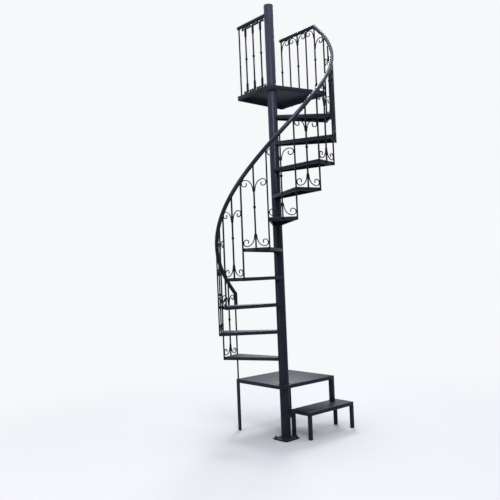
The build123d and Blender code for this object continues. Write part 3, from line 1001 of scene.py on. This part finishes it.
bolts = {
    "baseSpacing": 0.068, "baseTurn": 0.3, "roofSpacing": 0.180, "roofInset": 0.02, "roofTurn": 0.8,
    "washer": 0.012, "washerThick": 0.0025, "washerEdge": 0.0004, "washerSides": 32,
    "across": 0.019, "nutHeight": 0.010, "nutLowEdge": (0.0006, 0.0005), "nutTopEdge": (0.0016, 0.0012),
    "thread": 0.006, "standUp": 0.022, "inNut": 0.001, "turns": 5, "groove": (0.0006, 0.0008),
    "tipEdge": (0.0003, 0.0012), "tipIn": 0.0014, "threadSides": 20,    # edges and grooves: inwards, along
}


def buildBolt(name):
    # Washer, chamfered hexagon nut and the rounded end of its anchor
    bm = bmesh.new()
    wide, low, edge = bolts["washer"], bolts["washerThick"], bolts["washerEdge"]
    washer = [(wide - edge, 0.0), (wide, edge), (wide, low - edge), (wide - edge, low)]
    addLathe(bm, washer, bolts["washerSides"])
    corner = bolts["across"] / 2 / cos(radians(30))
    high = low + bolts["nutHeight"]
    lowIn, lowUp = bolts["nutLowEdge"]
    topIn, topDown = bolts["nutTopEdge"]
    nut = [(corner - lowIn, low), (corner, low + lowUp), (corner, high - topDown), (corner - topIn, high)]
    addLathe(bm, nut, 6)
    thread, end = bolts["thread"], bolts["standUp"]
    grooveIn, grooveUp = bolts["groove"]
    tipIn, tipDown = bolts["tipEdge"]
    profile = []
    for i in range(bolts["turns"]):
        z = high - bolts["inNut"] + i * (end - high) / bolts["turns"]
        profile += [(thread, z), (thread - grooveIn, z + grooveUp)]
    profile += [(thread - tipIn, end - tipDown), (thread - bolts["tipIn"], end)]
    addLathe(bm, profile, bolts["threadSides"])
    return newObject(name, meshFromBm(name, bm, 30))


def boltPair(name, x, y, z, spacing, turn):
    start, step = (x - spacing, y, z), (2 * spacing, 0.0, 0.0)
    return copiesAlong(name, buildBolt("bolt"), 2, start, step, "frame_paint", turn)


def buildBolts():
    spacing = bolts["baseSpacing"]
    made = [boltPair("baseBolts", 0.0, y, stair["baseTop"], spacing, bolts["baseTurn"] + n)
            for n, y in enumerate((-spacing, spacing))]
    low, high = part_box("landing_plate")
    made.append(boltPair("roofBolts", (low.x + high.x) / 2, stair["landingBack"] - bolts["roofInset"],
                         stair["landingTop"], bolts["roofSpacing"], bolts["roofTurn"]))
    return joined("anchorBolts", made, "frame_paint", 30)


place(buildBolts(), "frame_paint")


# Floor, light and camera

stageLook = {
    "size": 80.0, "floor": (0.53, 0.528, 0.526, 1), "shadedFloorInReflections": (0.25, 0.25, 0.26, 1), "floorRough": 0.9,
    "sky": (0.93, 0.94, 0.955, 1), "fadeStart": 1.3, "fadeEnd": 4.5,
    "domeLow": (0.34, 0.34, 0.36, 1), "domeHigh": (0.98, 1.03, 1.18, 1), "dome": (0.02, 0.62),
}


def floorMaterial():
    # Pale to the camera and darker in reflections, which paints shade onto the stair's lower parts; away from
    # the stair it fades into the sky
    material = bpy.data.materials.new("paleFloor")
    material.use_nodes = True
    s = Shade(material.node_tree)
    rays = s.add("ShaderNodeLightPath").outputs
    shader = s.tree.nodes["Principled BSDF"]
    # Painted shade: the floor is darker only where it is seen in reflections
    tone = s.mix(rays["Is Glossy Ray"], stageLook["floor"], stageLook["shadedFloorInReflections"])
    s.link(tone, shader.inputs["Base Color"])
    shader.inputs["Roughness"].default_value = stageLook["floorRough"]
    position = s.add("ShaderNodeTexCoord").outputs["Object"]
    away = s.add("ShaderNodeVectorMath", {"operation": "LENGTH"}, at0=position).outputs["Value"]
    fade = s.add("ShaderNodeMapRange", {"interpolation_type": "SMOOTHERSTEP"}, Value=away,
                 From_Min=stageLook["fadeStart"], From_Max=stageLook["fadeEnd"])
    glow = s.add("ShaderNodeEmission", Color=stageLook["sky"])
    blend = s.add("ShaderNodeMixShader", Fac=s.product(fade.outputs[0], rays["Is Camera Ray"]),
                  at1=shader.outputs[0], at2=glow.outputs[0])
    s.link(blend.outputs[0], s.tree.nodes["Material Output"].inputs[0])
    return material


def addFloor():
    bm = bmesh.new()
    half = stageLook["size"] / 2
    bm.faces.new([bm.verts.new((x * half, y * half, 0)) for x, y in ((-1, -1), (1, -1), (1, 1), (-1, 1))])
    floor = newObject("floor", meshFromBm("floor", bm))
    floor.data.materials.append(floorMaterial())


def addSky():
    # The light comes from a soft dome, brighter and cooler overhead; the camera sees one plain tone
    world = bpy.data.worlds.new("paleSky")
    bpy.context.scene.world = world
    world.use_nodes = True
    s = Shade(world.node_tree)
    height = s.split(s.add("ShaderNodeTexCoord").outputs["Generated"])["Z"]
    tone = s.mix(s.ramp(height, *stageLook["dome"]), stageLook["domeLow"], stageLook["domeHigh"])
    light = s.tree.nodes["Background"]
    s.link(tone, light.inputs["Color"])
    plain = s.add("ShaderNodeBackground", Color=stageLook["sky"], Strength=1.0)
    seen = s.add("ShaderNodeLightPath").outputs["Is Camera Ray"]
    blend = s.add("ShaderNodeMixShader", Fac=seen, at1=light.outputs[0], at2=plain.outputs[0])
    s.link(blend.outputs[0], s.tree.nodes["World Output"].inputs[0])


lamps = {    # position, target, size in metres, watts
    "key": ((-3.2, -4.6, 6.8), (0, 0, 2.2), 2.4, 250),
    "fill": ((-5.5, 1.0, 2.5), (0, 0, 1.8), 3.0, 60),
    "rim": ((3.6, 3.2, 5.6), (0, 0, 2.4), 2.0, 230),
    "top": ((0.3, -0.4, 8.5), (0, 0, 2.0), 2.2, 160),
}


def addLamp(name, spot, target, size, watts):
    data = bpy.data.lights.new(name, "AREA")
    data.shape = "DISK"
    data.size = size
    data.energy = watts
    lamp = newObject(name, data)
    lamp.location = spot
    lamp.rotation_euler = (Vector(target) - Vector(spot)).to_track_quat("-Z", "Y").to_euler()


# The photograph's own view, in metres and degrees
photoCamera = {
    "position": (-3.982, -4.148, 1.534), "heading": 41.19, "pitch": 2.173, "roll": -2.31,
    "focalPixels": 617.3, "framePixels": 500.0, "sensor": 36.0, "clipEnd": 200.0,
}


def addCamera():
    data = bpy.data.cameras.new("photoCamera")
    data.sensor_width = photoCamera["sensor"]
    data.lens = photoCamera["sensor"] * photoCamera["focalPixels"] / photoCamera["framePixels"]
    data.clip_end = photoCamera["clipEnd"]
    camera = newObject("photoCamera", data)
    camera.matrix_world = (Matrix.Translation(photoCamera["position"])
                           @ Matrix.Rotation(-radians(photoCamera["heading"]), 4, "Z")
                           @ Matrix.Rotation(radians(90 + photoCamera["pitch"]), 4, "X")
                           @ Matrix.Rotation(radians(photoCamera["roll"]), 4, "Z"))
    bpy.context.scene.camera = camera


addFloor()
addSky()
for name, lamp in lamps.items():
    addLamp(name, *lamp)
addCamera()
bpy.context.scene.view_settings.view_transform = "Standard"
print("stage, lamps and camera set")
